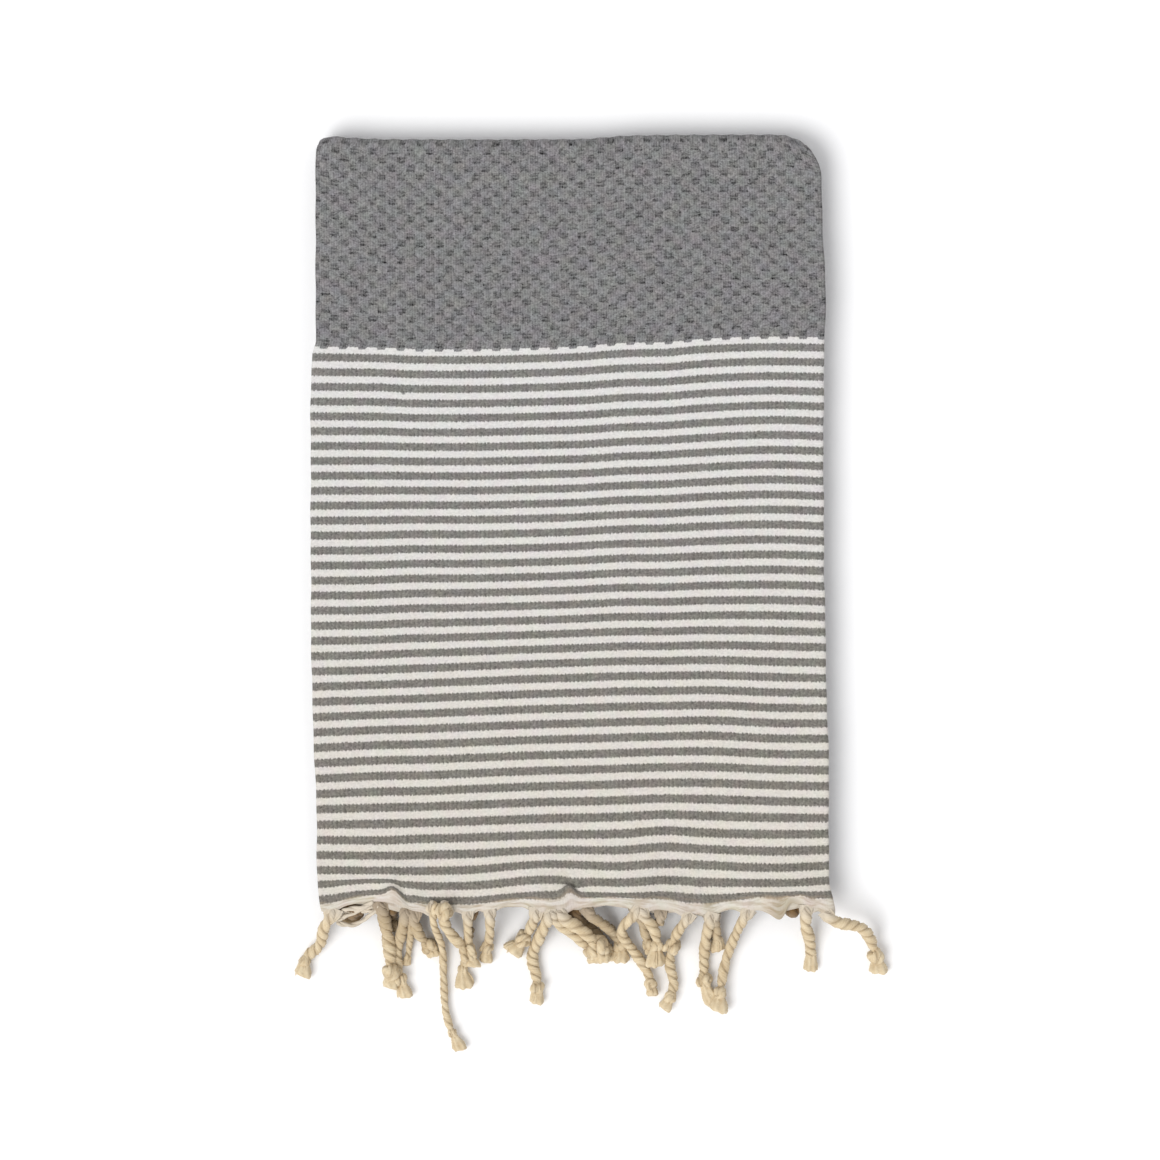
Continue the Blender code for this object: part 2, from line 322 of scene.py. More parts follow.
def rumple(x, y, rise):
    """How far a ply of the top layer lifts near the front. rise counts plies up from the middle one."""
    middle_share, ply_step = RUMPLE_SHARE
    lift = 0
    for across, half, high, back in RUMPLES:
        beside, behind = (x / MM - across) / half, np.maximum(y, 0) / MM / back
        lift = lift + high * MM * np.exp(-beside ** 2 - behind ** 2)
    return lift * (middle_share + ply_step * rise)


def bump(x, y, across, deep, half_wide, half_long, turn):
    """A soft round or long mound, 1 high, at a place on the face."""
    turn = math.radians(turn)
    a, b = x / MM - across, y / MM - deep
    along = a * math.cos(turn) + b * math.sin(turn)
    beside = b * math.cos(turn) - a * math.sin(turn)
    return np.exp(-(along / half_wide) ** 2 - (beside / half_long) ** 2)


def lifted(mounds, x, y):
    """How far the tucks or the swells lift the face."""
    return sum(place[-1] * MM * bump(x, y, *place[:5]) for place in mounds)


def weft_drift(x, y):
    """How far the weft of the top layer runs behind its true line."""
    table = np.array(DRIFT)
    across = np.array([through(DRIFT_ACROSS, row, x) / MM for row in table[:, 1:]])
    drift = through(table[:, 0], across, y)
    for *place, pulled, _ in TUCKS:
        drift = drift + pulled * MM * bump(x, y, *place) * np.minimum(y / TUCK_FADE, 1)
    return drift


def layer_middle(layer):
    """Height of the middle ply of a layer, counted down from the top one."""
    return CLOTH_THICK / 2 + PLY_PITCH + (LAYERS - 1 - layer) * 3 * PLY_PITCH


TURN = PLY_PITCH / 2                 # radius of a fold of one ply
PROUD = TURN + CLOTH_THICK / 2
RIGHT_FOLD, LEFT_FOLD = WIDE - PROUD, UNDER_INSET + PROUD
LAYER_TURN = 1.5 * PLY_PITCH         # radius of the middle ply in a fold of a layer
REACH = 2.5 * PLY_PITCH + CLOTH_THICK / 2
BACK_FOLD, FRONT_FOLD = DEEP - REACH, UNDER_INSET + REACH

# Distances along the weft at which the cloth goes into and out of the folds of its plies
PLY_ENDS = np.cumsum([
    RIGHT_FOLD,
    math.pi * TURN,
    RIGHT_FOLD - LEFT_FOLD,
    math.pi * TURN,
    WIDE - UNDER_INSET - LEFT_FOLD,
])
# and along the warp, for the folds of its layers
LAYER_ENDS = np.cumsum([
    BACK_FOLD,
    math.pi * LAYER_TURN,
    BACK_FOLD - FRONT_FOLD,
    math.pi * LAYER_TURN,
    BACK_FOLD - FRONT_FOLD,
    math.pi * LAYER_TURN,
    BACK_FOLD - END_SHORT,
])
UPPER_BACK, LOWER_BACK = LAYER_ENDS[0:2], LAYER_ENDS[4:6]   # the two folds at the back
CLOTH_WIDE, CLOTH_LONG = PLY_ENDS[-1], LAYER_ENDS[-1]
STRIPED = END_BAND + STRIPES * STRIPE_REPEAT
SQUARE_WIDE = RIGHT_FOLD / SQUARES_ACROSS
SQUARE_DEEP = (BACK_FOLD - STRIPED) / SQUARES_DEEP


def folded_across(weft):
    """Where a place along the weft lies: how far from the left, and how high over the middle ply."""
    first, turned, second, returned, _ = PLY_ENDS
    right_angle = np.clip((weft - first) / TURN, 0, math.pi)
    left_angle = np.clip((weft - second) / TURN, 0, math.pi)
    across = np.select(
        [weft <= first, weft <= turned, weft <= second, weft <= returned],
        [weft, RIGHT_FOLD + TURN * np.sin(right_angle), RIGHT_FOLD - (weft - turned),
         LEFT_FOLD - TURN * np.sin(left_angle)],
        LEFT_FOLD + (weft - returned),
    )
    rise = np.select(
        [weft <= turned, weft <= returned],
        [TURN + TURN * np.cos(right_angle), -TURN + TURN * np.cos(left_angle)],
        -PLY_PITCH,
    )
    return across, rise


def folded_along(warp, rise):
    """Where a place along the warp lies: from the front, its height, and how far its row is narrowed."""
    warp = np.minimum(warp, LAYER_ENDS[-1])
    deep, high, narrowed = np.zeros_like(warp), np.zeros_like(warp), np.zeros_like(warp)
    starts = np.concatenate([[0], LAYER_ENDS[:-1]])
    for number, (start, end) in enumerate(zip(starts, LAYER_ENDS)):
        here = (warp >= start) & (warp <= end)
        layer, way = number // 2, 1 if number // 2 % 2 == 0 else -1
        gone = warp[here] - start
        if number % 2 == 0:
            begin = 0 if layer == 0 else FRONT_FOLD if way > 0 else BACK_FOLD
            deep[here] = begin + way * gone
            high[here] = layer_middle(layer) + way * rise[here]
            narrowed[here] = min(layer, 1)
            continue
        angle = gone / LAYER_TURN
        radius = LAYER_TURN + way * rise[here]
        centre = (layer_middle(layer) + layer_middle(layer + 1)) / 2
        deep[here] = (BACK_FOLD if way > 0 else FRONT_FOLD) + way * radius * np.sin(angle)
        high[here] = centre + radius * np.cos(angle)
        narrowed[here] = 1 if layer else angle / math.pi
    return deep, high, narrowed


def squares(weft, warp):
    """The honeycomb: near 1 in the middle of a square that stands up, and near -1 in one that sinks."""
    egg_box = np.cos(math.pi * weft / SQUARE_WIDE) * np.sin(math.pi * (warp - STRIPED) / SQUARE_DEEP)
    return egg_box / (np.abs(egg_box) + SQUARE_SLOPE) * (1 + SQUARE_SLOPE)


def lie_folded(weft, warp):
    """The place in the stack of points of the flat cloth."""
    across, rise = folded_across(weft)
    deep, high, narrowed = folded_along(warp, rise)
    on_top = warp <= LAYER_ENDS[0]
    plies = rise / PLY_PITCH
    high += np.where(on_top, rumple(across, deep, plies), 0)
    high += np.where(on_top & (weft < RIGHT_FOLD), lifted(TUCKS, across, deep), 0)
    high += np.where(on_top, lifted(SWELLS, across, deep), 0)
    lean = LEAN * np.sin(deep / LEAN_ALONG + high * LEAN_UP) * narrowed
    across = across + (0.5 - across / WIDE) * 2 * UNDER_NARROW * narrowed
    x, y = plan(across, deep)
    y += np.where(on_top, weft_drift(across, deep), 0)
    short, long = EDGE_WAVES
    edge_wave = EDGE_WAVE * np.sin(deep / short) * np.sin(deep / long + 2) * (2 * across / WIDE - 1)
    from_cut = np.clip(warp / HEM_PULL_FADE, 0, 1)
    for ply in HEM_PULLS:
        y -= np.where(np.round(plies) == ply, hem_pull(x, ply), 0) * (1 - from_cut) ** 2
    high -= HEM_CURL * np.clip(1 - warp / HEM_CURL_LONG, 0, 1) ** 2
    return np.stack([x + lean + edge_wave, y, high], axis=1)


def steps(start, end, count):
    """Evenly spaced places after start, up to end."""
    return [start + (end - start) * (i + 1) / count for i in range(count)]


PLY_COLUMNS = 10                     # mesh columns in a hidden ply
TURN_COLUMNS = 5                     # and in a fold of one ply
FOLD_ROWS = 8                        # mesh rows in a fold of a layer
HIDDEN_ROWS = 16                     # and in a hidden layer
weft_lines = [0.0] + [(i + 0.5) * SQUARE_WIDE for i in range(SQUARES_ACROSS)] + [PLY_ENDS[0]]
for number, (start, end) in enumerate(zip(PLY_ENDS, PLY_ENDS[1:])):
    weft_lines += steps(start, end, TURN_COLUMNS if number % 2 == 0 else PLY_COLUMNS)
warp_lines = [0.0, END_BAND / 2, END_BAND]
warp_lines += steps(END_BAND, STRIPED, 2 * STRIPES)
warp_lines += steps(STRIPED, BACK_FOLD, SQUARES_DEEP)
for number, (start, end) in enumerate(zip(LAYER_ENDS, LAYER_ENDS[1:])):
    warp_lines += steps(start, end, FOLD_ROWS if number % 2 == 0 else HIDDEN_ROWS)

flat = bmesh.new()
bmesh.ops.create_grid(flat, x_segments=len(weft_lines) - 1, y_segments=len(warp_lines) - 1, size=0.5)
for vert in flat.verts:
    column = round((vert.co.x + 0.5) * (len(weft_lines) - 1))
    row = round((vert.co.y + 0.5) * (len(warp_lines) - 1))
    vert.co = (weft_lines[column], warp_lines[row], 0)

FRONT_FINE = 44 * MM                 # the rippled front is meshed nearly as finely as the honeycomb
HEM_FINE = END_BAND / 2              # and the cut end of all three plies is finer by one cut
RELIEF_FADE = 1 * MM                 # the squares come up over this much where they begin to show
SLACK = 1e-6                         # metres, for rounding


def within(edge, from_warp, to_warp, to_weft):
    """Whether an edge of the flat cloth lies in a patch of it that starts at the left selvedge."""
    ends = [vert.co for vert in edge.verts]
    return all(
        end.x <= to_weft + SLACK and from_warp - SLACK <= end.y <= to_warp + SLACK for end in ends
    )


for *patch, cuts in (                # from and to along the warp, to across the weft, cuts of an edge
    (0, FRONT_FINE, PLY_ENDS[0], 2),
    (0, HEM_FINE, PLY_ENDS[-1], 1),
    (STRIPED, BACK_FOLD, PLY_ENDS[0], 3),
    (*UPPER_BACK, PLY_ENDS[0], 1),
    (*LOWER_BACK, PLY_ENDS[0], 1),
):
    fine = [edge for edge in flat.edges if within(edge, *patch)]
    bmesh.ops.subdivide_edges(flat, edges=fine, cuts=cuts, use_grid_fill=True)

uv_layer = flat.loops.layers.uv.new("cloth metres")
for face in flat.faces:
    face.smooth = True
    for loop in face.loops:
        loop[uv_layer].uv = loop.vert.co.xy
places = np.array([vert.co[:2] for vert in flat.verts])
folded = lie_folded(places[:, 0], places[:, 1])
for vert, place in zip(flat.verts, folded):
    vert.co = place
flat.normal_update()
# The squares stand up where they show: on the face ply of the top layer and round the back folds
stands_up = squares(places[:, 0], places[:, 1]) * RELIEF
shows = np.clip((PLY_ENDS[0] - places[:, 0]) / RELIEF_FADE, 0, 1)
down = places[:, 1]
top_layer = np.clip(np.minimum(down - STRIPED, UPPER_BACK[1] - down) / RELIEF_FADE, 0, 1)
lower_fold = np.clip(np.minimum(down - LOWER_BACK[0], LOWER_BACK[1] - down) / RELIEF_FADE, 0, 1)
stands_up *= shows * np.maximum(top_layer, lower_fold)
for vert, height in zip(flat.verts, stands_up):
    vert.co += vert.normal * height


def add_node(tree, kind, inputs=(), out=0, **settings):
    """Adds a node with its settings, sets or links its inputs, which come in order or by their keys, and
    returns one of its outputs."""
    made = tree.nodes.new("ShaderNode" + kind)
    for name, value in settings.items():
        setattr(made, name, value)
    for key, value in inputs.items() if isinstance(inputs, dict) else enumerate(inputs):
        if isinstance(value, bpy.types.NodeSocket):
            tree.links.new(value, made.inputs[key])
        else:
            made.inputs[key].default_value = value
    return made.outputs[out]


def uneven_waves(tree, along, repeat, unevenness, amount, wave="SINE"):
    """Waves a repeat apart along a direction, which an unevenness shifts by so many radians."""
    turn = add_node(tree, "Math", (along, 2 * math.pi / repeat), operation="MULTIPLY")
    turn = add_node(tree, "Math", (unevenness, amount, turn), operation="MULTIPLY_ADD")
    return add_node(tree, "Math", (turn,), operation=wave)


def finish_cotton(tree, surface, colour, relief, roughness, sheen):
    """Gives a cotton its colour and the relief of its yarns, in millimetres, and a soft matt finish."""
    height = 0.0
    for part, amount in relief:
        height = add_node(tree, "Math", (part, amount, height), operation="MULTIPLY_ADD")
    bumps = add_node(tree, "Bump", {"Height": height, "Distance": MM, "Strength": 0.6})
    tree.links.new(colour, surface.inputs["Base Color"])
    tree.links.new(bumps, surface.inputs["Normal"])
    surface.inputs["Roughness"].default_value = roughness
    surface.inputs["Specular IOR Level"].default_value = 0.25
    surface.inputs["Sheen Weight"].default_value = sheen
    surface.inputs["Sheen Roughness"].default_value = 0.5


WEAVE_REPEAT = 2.7                   # mm: the cords of the grey stripes, drawn coarser than they are
RIB_REPEAT = 1.6                     # mm: the floats of warp on a raised square
FLOATS = 2.5                         # floats of weft in a sunk square
SLUB_PLACE = (60.0, 336.0, 0.0)      # mm across and along the flat cloth
FLAP_PLACE = (300.0, 1.0, 0.0)
CREASED_BAND = END_BAND / MM + 2.5   # mm from the end: the last creases end here


def honeycomb_cotton():
    """Carded cotton, loosely spun, woven with an undyed warp and a melange grey weft. Its loose fibres
    scatter light softly, so it has no gloss. Weft floats sink as short dark lines between the plain
    squares, with painted shade in the sunk squares, darkest at their lower edge, and the grey stripes show
    the weave as small upright specks."""
    material, tree, surface = new_material("carded cotton, honeycomb weave")
    node = functools.partial(add_node, tree)
    place = node("UVMap", uv_map="cloth metres")
    metres = node("SeparateXYZ", (place,)).node.outputs
    weft = node("Math", (metres["X"], 1 / MM), operation="MULTIPLY")
    warp = node("Math", (metres["Y"], 1 / MM), operation="MULTIPLY")
    from_end = node("Math", (warp, CLOTH_LONG / MM / 2), operation="PINGPONG")
    even = node("CombineXYZ", (weft, warp))

    # Unevenness of the yarn, in mm: flecks of darker and lighter fibre, slubs that run along the weft or
    # the warp, long streaks, and broad patches. The flecks are drawn a millimetre wide, coarser than the
    # real ones, to show
    drawn = node("VectorMath", (even, (0.95, 1.35, 1.0)), operation="MULTIPLY")
    flecks = node("TexVoronoi", {"Vector": drawn, "Scale": 1.0}, out=1, voronoi_dimensions="2D")
    fleck = node("SeparateColor", (flecks,))
    long_noises = []
    for stretch in ((0.45, 1.4, 1.0), (1.0, 0.28, 1.0), (0.07, 0.5, 1.0)):
        drawn = node("VectorMath", (even, stretch), operation="MULTIPLY")
        noise = {"Vector": drawn, "Scale": 1.0, "Detail": 2.0, "Roughness": 0.6}
        long_noises.append(node("TexNoise", noise))
    weft_slub, warp_slub, streaks = long_noises
    mottle = node("TexNoise", {"Vector": even, "Scale": 0.5, "Detail": 2.0, "Roughness": 0.7})
    patches = node("TexNoise", {"Vector": even, "Scale": 0.05, "Detail": 3.0})
    tints = node("TexNoise", {"Vector": even, "Scale": 0.11, "Detail": 1.0}, out=1)

    # Grey stripes: how far from the middle of the nearest one, in mm. The cords of the weave make small
    # teeth on its edges, and upright specks inside it
    half_grey = GREY_WIDE / MM / 2
    repeat = node("Math", (from_end, END_BAND / MM), operation="SUBTRACT")
    repeat = node("Math", (repeat, -1.0), operation="MAXIMUM")
    repeat = node("Math", (repeat, half_grey), operation="SUBTRACT")
    from_grey = node("Math", (repeat, STRIPE_REPEAT / MM / 2), operation="PINGPONG")
    across_weave = uneven_waves(tree, weft, WEAVE_REPEAT, mottle, 12.0)
    edge = node("Math", (across_weave, 0.26, from_grey), operation="MULTIPLY_ADD")
    edge = node("Math", (warp_slub, 1.8, edge), operation="MULTIPLY_ADD")
    edge = node("Math", (edge, 0.9), operation="SUBTRACT")
    is_grey = node("MapRange", (edge, half_grey - 0.4, half_grey + 0.4, 1.0, 0.0))

    # Honeycomb squares: the same egg box as the mesh has
    turn_across = node("Math", (weft, math.pi * MM / SQUARE_WIDE), operation="MULTIPLY")
    striped = STRIPED / MM
    down = node("Math", (from_end, striped), operation="SUBTRACT")
    down = node("Math", (down, MM / SQUARE_DEEP), operation="MULTIPLY")
    turn_down = node("Math", (down, math.pi), operation="MULTIPLY")
    wave_across = node("Math", (turn_across,), operation="COSINE")
    wave_down = node("Math", (turn_down,), operation="SINE")
    egg_box = node("Math", (wave_across, wave_down), operation="MULTIPLY")
    unsure = node("Math", (mottle, 1.3, -0.65), operation="MULTIPLY_ADD")
    unsure = node("Math", (egg_box, unsure), operation="ADD")
    sunk = node("MapRange", (unsure, 0.02, -0.26, 0.0, 1.0))
    # Painted shade in a sunk square, darkest along its lowest line, with the floats of weft as lines
    # across it, and no two squares alike
    share = node("Math", (down,), operation="FRACT")
    lowest_line_shade = node("MapRange", (share, 0.10, 0.45, 1.0, 0.0))
    lines = uneven_waves(tree, share, 1 / FLOATS, weft_slub, 5.0, "COSINE")
    depth = node("TexNoise", {"Vector": even, "Scale": 0.17, "Detail": 1.0})
    depth = node("MapRange", (depth, 0.3, 0.7, 0.55, 1.45))
    shade = node("Math", (lowest_line_shade, 0.15, 0.29), operation="MULTIPLY_ADD")
    shade = node("Math", (lines, 0.11, shade), operation="MULTIPLY_ADD")
    shade = node("Math", (shade, sunk), operation="MULTIPLY")
    shade = node("Math", (shade, depth), operation="MULTIPLY")
    # Floats of warp on a raised square: fine upright ribs
    ribs = uneven_waves(tree, weft, RIB_REPEAT, mottle, 3.0)
    # The sunk squares next to the stripes reach a little into the first white one
    into_white = node("Math", (wave_across, -4.0), operation="MULTIPLY")
    into_white = node("Math", (into_white, 0.0), operation="MAXIMUM")
    into_white = node("Math", (into_white, 1.7), operation="MINIMUM")
    into_white = node("Math", (warp_slub, 1.5, into_white), operation="MULTIPLY_ADD")
    reach = node("Math", (from_end, into_white), operation="ADD")
    is_honey = node("MapRange", (reach, striped + 0.5, striped + 1.1, 0.0, 1.0))

    # How bright each yarn is against its own colour, near 1
    even_yarn = node("Math", (patches, 0.28, 0.86), operation="MULTIPLY_ADD")
    rough_yarn = node("Math", (fleck, 0.50, -0.25), operation="MULTIPLY_ADD")
    rough_yarn = node("Math", (mottle, 1.3, rough_yarn), operation="MULTIPLY_ADD")
    rough_yarn = node("Math", (rough_yarn, 0.65), operation="SUBTRACT")
    honey_light = node("Math", (even_yarn, rough_yarn), operation="ADD")
    honey_light = node("Math", (ribs, 0.10, honey_light), operation="MULTIPLY_ADD")
    honey_light = node("Math", (honey_light, shade), operation="SUBTRACT")
    grey_light = node("Math", (across_weave, 0.12, even_yarn), operation="MULTIPLY_ADD")
    grey_light = node("Math", (rough_yarn, 0.85, grey_light), operation="MULTIPLY_ADD")
    white_light = node("Math", (weft_slub, 0.34, 0.83), operation="MULTIPLY_ADD")
    white_light = node("Math", (rough_yarn, 0.22, white_light), operation="MULTIPLY_ADD")
    honey, grey, white = (
        node("VectorMath", {0: linear(colour)[:3], "Scale": light}, operation="SCALE")
        for colour, light in (("#7c7b7b", honey_light), ("#787672", grey_light), ("#d3d1ce", white_light))
    )
    stripes = node("Mix", {0: is_grey, 6: white, 7: grey}, 2, data_type="RGBA")
    # The cloth is tinted a little warmer towards the ends
    warmth = node("MapRange", (from_end, 0.0, 330.0, 1.0, 0.0))
    stripes = node("Mix", {0: warmth, 6: stripes, 7: linear("#fcf7ee")}, 2, data_type="RGBA",
                   blend_type="MULTIPLY")
    cream = node("MapRange", (from_end, 1.0, END_BAND / MM, 0.8, 0.2))
    cream_here = node("Math", (from_end, END_BAND / MM), operation="LESS_THAN")
    # Painted shade along the last 3 mm of the cut end, where it curls down
    painted_rim_shade = node("MapRange", (from_end, 0.0, 3.0, 0.4, 0.0))
    cream = node("Math", (cream, cream_here), operation="MULTIPLY")
    stripes = node("Mix", {0: cream, 6: stripes, 7: linear("#d1c9bd")}, 2, data_type="RGBA")
    # Creases in the end band and the start of the first stripe, where the weft slid and the bunches of
    # fringe pull on it: painted shade in the pale band, and tan yarn showing over the first grey stripe
    crease_shade_and_tan = node("MapRange", (streaks, 0.43, 0.66, 0.0, 0.75))
    creased = node("MapRange", (from_end, END_BAND / MM, CREASED_BAND, 1.0, 0.0))
    crease_shade_and_tan = node("Math", (crease_shade_and_tan, creased), operation="MULTIPLY")
    crease_shade_and_tan = node("Math", (crease_shade_and_tan, painted_rim_shade), operation="MAXIMUM")
    # The small flap near the right corner turns down, into its own shade
    from_flap = node("VectorMath", (even, FLAP_PLACE), out=1, operation="DISTANCE")
    flap_shade = node("MapRange", (from_flap, 4.0, 16.0, 0.5, 0.0))
    flap_shade = node("Math", (flap_shade, creased), operation="MULTIPLY")
    crease_shade_and_tan = node("Math", (crease_shade_and_tan, flap_shade), operation="ADD")
    stripes = node("Mix", {0: crease_shade_and_tan, 6: stripes, 7: linear("#a8977f")}, 2, data_type="RGBA")
    cloth = node("Mix", {0: is_honey, 6: stripes, 7: honey}, 2, data_type="RGBA")
    cloth = node("Mix", {0: 0.07, 6: cloth, 7: tints}, 2, data_type="RGBA", blend_type="OVERLAY")
    # One dark slub among the upper stripes
    from_slub = node("VectorMath", (even, SLUB_PLACE), out=1, operation="DISTANCE")
    slub = node("MapRange", (from_slub, 0.6, 1.7, 0.75, 0.0))
    cloth = node("Mix", {0: slub, 6: cloth, 7: linear("#3d3c3a")}, 2, data_type="RGBA")

    # Yarns stand proud of each other by a tenth of a millimetre or so
    relief = ((weft_slub, 0.20), (fleck, 0.10), (mottle, 0.30), (ribs, 0.03))
    finish_cotton(tree, surface, cloth, relief, roughness=0.92, sheen=0.12)
    return material


towel = put_in_scene("towel_cloth", finished_mesh("towel_cloth", flat, honeycomb_cotton()))
thickness = towel.modifiers.new("thickness", "SOLIDIFY")
thickness.thickness = CLOTH_THICK
thickness.offset = 0
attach(towel, "root")
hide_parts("towel")

# ---------------------------------------------------------------------------------------------------------
# The near fringe
# The undyed warp ends of the near end, taken in bunches: each bunch gathers at the cloth's edge, is
# twisted in two strands, tied in a knot or two, and cut off in a soft brush.

STRAND_REACH = 0.16                  # of a cord's thickness: from the cord's middle to its strand's
STRAND_DEEP = 0.35                   # half a strand, towards the cord's middle
STRAND_WIDE = 0.44                   # and across
TWIST = 14.5 * MM                    # one turn of the two strands
STRAND_LAY = 3.4 * MM                # one turn of the yarns in a strand
STRAND_YARNS = 4                     # yarns that show round a strand
FAN_LONG = 4.0 * MM                  # a bunch gathers to its cord in this much,
FAN_LONGER = 0.7                     # and in this share of its half width besides
FAN_THICK = 1.0 * MM
FAN_ON_CLOTH = 4.0 * MM              # how far back on the cloth its yarns show
KNOT_ROUND = 0.32                    # a knot's two turns, in thicknesses: their radius round its hole,
KNOT_RISE = 0.30                     # how far they swing in and out,
KNOT_DRAWN = 0.74                    # and the cord's own thickness while it is pulled tight
RING_PITCH = 0.8 * MM                # between rings of the mesh along a strand
YARN_PITCH = 1.6 * MM                # and along a single yarn
STRAND_SIDES = 14                    # mesh columns round a strand,
BUNCH_SIDES = 40                     # a fan or a brush,
YARN_SIDES = 6                       # and a single yarn
YARN_BUMPS = 0.07                    # how far single yarns stand proud, as a share of a half width
FAN_FLUTES = 13                      # soft grooves round a fan,
FAN_GROOVE = 0.08                    # and their depth, as a share of its thickness
BRUSH_FLUTES = 7                     # the same for a brush
BRUSH_GROOVE = 0.05
BRUSH_SLANT = 0.35                   # how far the cut of a brush slants, as a share of its half width
BRUSH_FLAT = 0.72                    # a brush's height over its width
BRUSH_MAP = 20 * MM                  # its map starts here, beyond the pale roots
YARN_APART = 1.3 * MM                # a brush has one loose end for so much of its length
YARN_THICK = 1.15 * MM
TABLE_GAP = 0.3 * MM                 # between a cord and the table
DROOP = {1: 34 * MM, 0: 26 * MM, -1: 14 * MM}   # a cord of each ply comes down in this much reach
CORD_SINK = 2.5 * MM                 # and is this far forward when it starts to
HEM_KNOT = 10 * MM                   # a second knot nearer to the root than this lies on the hem
SET_OFF = 10 * MM                    # a cord leaves the cloth aslant by no more than this
ROOT_SHADE = {1: 0.0, 0: 1.2, -1: 2.3}   # painted shade that browns a ply's cords at the cloth, under the plies above
ROOT_SHADE_LONG = 30 * MM            # and how far from the cloth that ends

# ply, root across from the origin, reach forward, how far each quarter stands to the right of the root,
# thickness, then the fan's half width, the brush's length and width, how high its end rides, the size of
# its knot (1 is a full one), and for a second knot how far along it is and its size, all lengths in mm
NEAR_CORDS = (
    (1, -169, 46, -5, -8, -18, -20, 7.2, 6.5, 9, 11, 0, 0.4, 0, 0),
    (0, -136.5, 58, 2.5, 4.5, 5.5, 5, 8.2, 5.5, 9, 10.0, 2.5, 0.6, 0, 0),
    (0, -121, 60, -3, -6, -4.5, 0, 6.8, 4.0, 10, 9.5, 0, 0.7, 0, 0),
    (0, -117.5, 38, -0.5, -1, -2, -3.5, 4.4, 4.0, 5, 5.5, 0, 0.4, 0, 0),
    (0, -116, 31.5, 1.5, 4, 10, 13.5, 7.0, 6.0, 5, 9.0, 0, 0.8, 0, 0),
    (1, -103, 92, 5.5, 6.5, 8.5, 17.5, 4.8, 5.0, 11, 9.0, 1.0, 0.6, 4, 1.0),
    (1, -96, 37.5, 2, 8.5, 16, 18, 7.2, 6.0, 6, 11.5, 3.0, 1.0, 6.6, 0.9),
    (1, -80.5, 52, 0, 0, -3.5, -2, 5.8, 4.0, 12, 12.0, 0, 0.4, 0, 0),
    (1, -66, 37, 0, -0.5, -2.5, -2.5, 6.2, 4.5, 8, 8.5, 0, 0.7, 0, 0),
    (1, -36, 30.5, -2, -5.5, -10.5, -17, 6.6, 5.0, 11, 14.5, 0, 0.95, 0, 0),
    (1, -27, 63, -6.5, -11.5, -8.5, -9, 7.4, 5.0, 9, 9.0, 0, 0.55, 0, 0),
    (1, -25, 36, 5.5, 16, 24, 27, 6.8, 4.0, 5, 9.0, 0, 0.7, 0, 0),
    (1, -19.5, 35, 8.5, 18.5, 25, 27, 8.2, 4.5, 6, 10.0, 4.5, 0.95, 0, 0),
    (0, -1.5, 37, 8, 17, 20.5, 19.5, 7.0, 4.5, 9, 12.0, 0, 0.5, 0, 0),
    (1, 29, 60, -9.4, -1, 8, 11, 6.6, 5.0, 6, 8.0, 1.5, 0.5, 0, 0),
    (0, 30, 33, 3, 5, 7, 9, 6.3, 5.0, 5, 8.0, 0, 0.6, 0, 0),
    (1, 33.5, 40, 5.5, 9, 8.5, 8, 7.0, 5.0, 13, 12.0, 3.5, 0.45, 0, 0),
    (0, 45, 10, 0, -0.5, -1, -1, 5.5, 4.5, 3, 7.0, 0, 0, 0, 0),
    (1, 62, 64.5, -8, -11, -8.5, -15, 6.6, 4.5, 8, 9.0, 1.0, 0.5, 30, 1.0),
    (1, 77.5, 62, -3, -4, -3.5, 2.5, 6.8, 5.5, 15, 10.5, 0, 0.8, 0, 0),
    (0, 79.5, 27, 1, 2, 3, 3, 6.3, 5.0, 10, 9.5, 0, 0, 0, 0),
    (1, 100.5, 68.5, -7, -13, -16, -18, 6.3, 5.0, 11, 12.5, 3.0, 0.6, 0, 0),
    (1, 139.5, 44.5, 0, 2.8, 3.7, 3.3, 7.4, 5.0, 10, 9.0, 0, 0, 0, 0),
    (1, 154.5, 42.5, 22, 28.5, 31.5, 33, 7.4, 4.5, 9, 12.0, 0, 0.7, 0, 0),
    # The bottom ply's cords, which lie in the gaps under the plies above; painted shade browns them most
    # of all
    (-1, -155, 10, 0, -1, -1, -1, 8.0, 9.0, 3, 14.0, 0, 0, 0, 0),
    (-1, -129.5, 20, 0, 0, 0.5, 1, 5.5, 5.0, 4, 6.0, 0, 0.5, 0, 0),
    (-1, -79, 20, -0.5, -1, -1, -1, 5.5, 5.0, 4, 6.0, 0, 0.5, 0, 0),
    (-1, -11, 35, 8, 16, 22, 25, 6.0, 6.5, 6, 7.0, 0, 0, 0, 0),
    (-1, 34, 20, 2, 3, 4, 5, 5.5, 5.0, 4, 6.0, 0, 0.5, 0, 0),
    (-1, 77, 19, 0, -0.5, -1, -1, 5.5, 5.0, 4, 6.0, 0, 0.5, 0, 0),
    (-1, 131, 7.5, 0, 0, 0, 0, 8.0, 6.0, 3, 9.0, 0, 0, 0, 0),
)


def distances(line):
    """How far along a line each of its points lies."""
    return np.concatenate([[0], np.cumsum(np.linalg.norm(np.diff(line, axis=0), axis=1))])


def smooth_line(points, pitch):
    """Points a pitch apart on a smooth curve through points."""
    points = np.array(points, float)
    knots = distances(points)
    count = max(int(knots[-1] * 4 / pitch), 8)
    at = np.linspace(0, knots[-1], count)
    dense = np.stack([curve(knots, points[:, axis], at) for axis in range(3)], axis=1)
    gone = distances(dense)
    even = np.linspace(0, gone[-1], max(round(gone[-1] / pitch), 3) + 1)
    return np.stack([np.interp(even, gone, dense[:, axis]) for axis in range(3)], axis=1)


